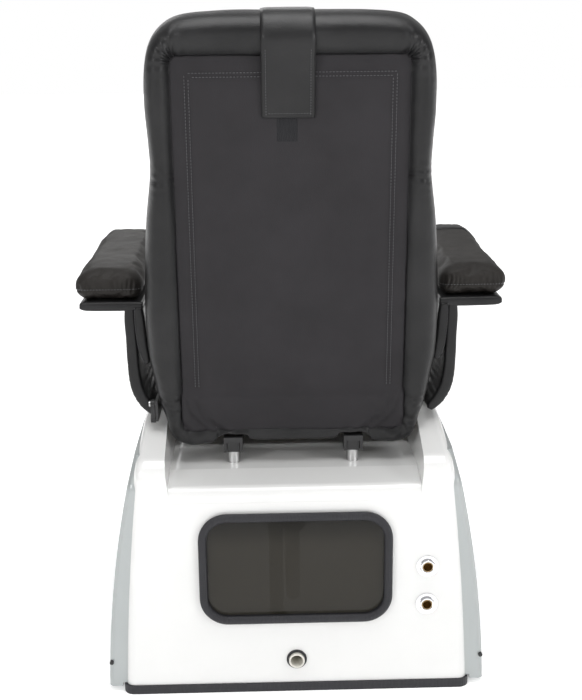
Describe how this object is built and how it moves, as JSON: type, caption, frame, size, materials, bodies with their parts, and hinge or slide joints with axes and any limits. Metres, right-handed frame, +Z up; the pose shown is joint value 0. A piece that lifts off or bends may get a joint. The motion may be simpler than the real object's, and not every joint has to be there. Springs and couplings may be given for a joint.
{
  "type": "pedicure spa chair",
  "caption": "Reclining upholstered massage chair on a moulded plumbed base with a footbath, grey side panels and a rear service window.",
  "frame": {"origin": "on the floor, at the centre of the chair's bounding box", "axes": "+Z up; the sitter faces -Y, so the footbath is at -Y; +X is the sitter's left"},
  "size_m": [0.9025, 1.411, 1.4086],
  "materials": {
    "white_gelcoat": "polished gelcoat",
    "grey_panel": "satin silver-grey lacquer",
    "black_rubber": "ribbed, semi-matt",
    "smoked_acrylic": "smoked, glossy",
    "black_leather": "semi-gloss, fine grain",
    "charcoal_vinyl": "matt, fine grain",
    "chrome": "polished",
    "brushed_steel": "brushed",
    "black_steel": "satin black powder coat",
    "brass": "plain machined",
    "white_pvc": "moulded",
    "grey_plastic": "moulded",
    "black_plastic": "moulded, fine texture",
    "plywood": "sealed",
    "hook_tape": "hook pile"
  },
  "bodies": {
    "base": {"pedestal_shell": "white_gelcoat", "footbath_surround": "white_gelcoat", "side_panel_left": "grey_panel", "side_panel_right": "grey_panel", "base_edge_trim": "black_rubber", "access_gasket": "black_rubber", "drain_grommet": "black_rubber", "access_window": "smoked_acrylic", "inlet_escutcheons": "chrome", "drain_strainer": "chrome", "tap_plates": "chrome", "sprayer_holder": "chrome", "button_bezel": "chrome", "standoff_posts": "brushed_steel", "supply_pipe_hot": "brushed_steel", "supply_pipe_cold": "brushed_steel", "slide_rails": "black_steel", "footrest_bracket": "black_steel", "inlet_fitting_hot": "brass", "inlet_fitting_cold": "brass", "mixing_valve": "brass", "drain_pipe": "white_pvc", "waste_pipe": "white_pvc", "jet_housing": "white_pvc", "footbath_basin": "white_pvc", "jet_cover": "white_pvc", "drain_pump": "grey_plastic", "power_box": "grey_plastic", "side_panel_screws": "black_plastic", "pump_cable": "black_plastic"},
    "seat": {"slide_runners": "black_steel", "seat_frame": "black_steel", "seat_board": "plywood", "seat_cushion": "black_leather", "arm_side_left": "black_leather", "arm_side_right": "black_leather", "arm_pad_left": "black_leather", "arm_pad_right": "black_leather", "remote_strap": "black_leather", "recline_pins": "brushed_steel"},
    "back": {"back_border": "black_leather", "back_rear_panel": "charcoal_vinyl", "back_front_pad": "black_leather", "back_frame": "black_steel", "massage_rails": "brushed_steel", "head_pillow": "black_leather", "pillow_strap": "black_leather", "pillow_patch": "hook_tape"},
    "massage_carriage": {"massage_carriage": "grey_plastic"},
    "massage_rollers": {"massage_rollers": "black_plastic"},
    "recline_lever": {"recline_lever": "black_plastic"},
    "drain_stopper": {"drain_stopper": "chrome"},
    "jet_impeller": {"jet_impeller": "white_pvc"},
    "hot_knob": {"hot_knob": "chrome"},
    "cold_knob": {"cold_knob": "chrome"},
    "spout": {"spout": "chrome"},
    "sprayer": {"sprayer": "chrome"},
    "jet_button": {"jet_button": "black_plastic"},
    "footrest": {"footrest_arm": "brushed_steel", "footrest_pad": "black_leather"}
  },
  "joints": [
    {"name": "seat_slide", "type": "slide", "parent": "base", "child": "seat", "axis": [0, -1, 0], "range_m": [0, 0.1]},
    {"name": "recline", "type": "hinge", "parent": "seat", "child": "back", "pos_m": [0, 0.56847, 0.55931], "axis": [-1, 0, 0], "range_deg": [0, 30]},
    {"name": "massage_travel", "type": "slide", "parent": "back", "child": "massage_carriage", "axis": [0, 0.1409, 0.99], "range_m": [-0.2, 0.33]},
    {"name": "roller_spin", "type": "hinge", "parent": "massage_carriage", "child": "massage_rollers", "pos_m": [0, 0.58103, 0.88883], "axis": [1, 0, 0], "continuous": true},
    {"name": "recline_release", "type": "hinge", "parent": "seat", "child": "recline_lever", "pos_m": [0.2965, 0.564, 0.61], "axis": [1, 0, 0], "range_deg": [0, 35], "stiffness_Nm_per_rad": 0.1, "springref_deg": -8.59},
    {"name": "footrest_lift", "type": "hinge", "parent": "base", "child": "footrest", "pos_m": [0, -0.16, 0.432], "axis": [-1, 0, 0], "range_deg": [0, 50]},
    {"name": "spout_swivel", "type": "hinge", "parent": "base", "child": "spout", "pos_m": [0.3, -0.336, 0.36], "axis": [0, 0, 1], "range_deg": [-60, 60]},
    {"name": "hot_turn", "type": "hinge", "parent": "base", "child": "hot_knob", "pos_m": [0.3, -0.272, 0.36], "axis": [0, 0, 1], "range_deg": [0, 90]},
    {"name": "cold_turn", "type": "hinge", "parent": "base", "child": "cold_knob", "pos_m": [0.3, -0.4, 0.36], "axis": [0, 0, 1], "range_deg": [0, 90]},
    {"name": "sprayer_lift", "type": "slide", "parent": "base", "child": "sprayer", "axis": [0, 0, 1], "range_m": [0, 0.15]},
    {"name": "stopper_lift", "type": "slide", "parent": "base", "child": "drain_stopper", "axis": [0, 0, 1], "range_m": [0, 0.012]},
    {"name": "jet_button_press", "type": "slide", "parent": "base", "child": "jet_button", "axis": [0, 0, -1], "range_m": [0, 0.003], "stiffness_N_per_m": 300, "springref_m": -0.001},
    {"name": "jet_spin", "type": "hinge", "parent": "base", "child": "jet_impeller", "pos_m": [0, -0.29561, 0.235], "axis": [0, -0.9797, 0.2005], "continuous": true}
  ]
}
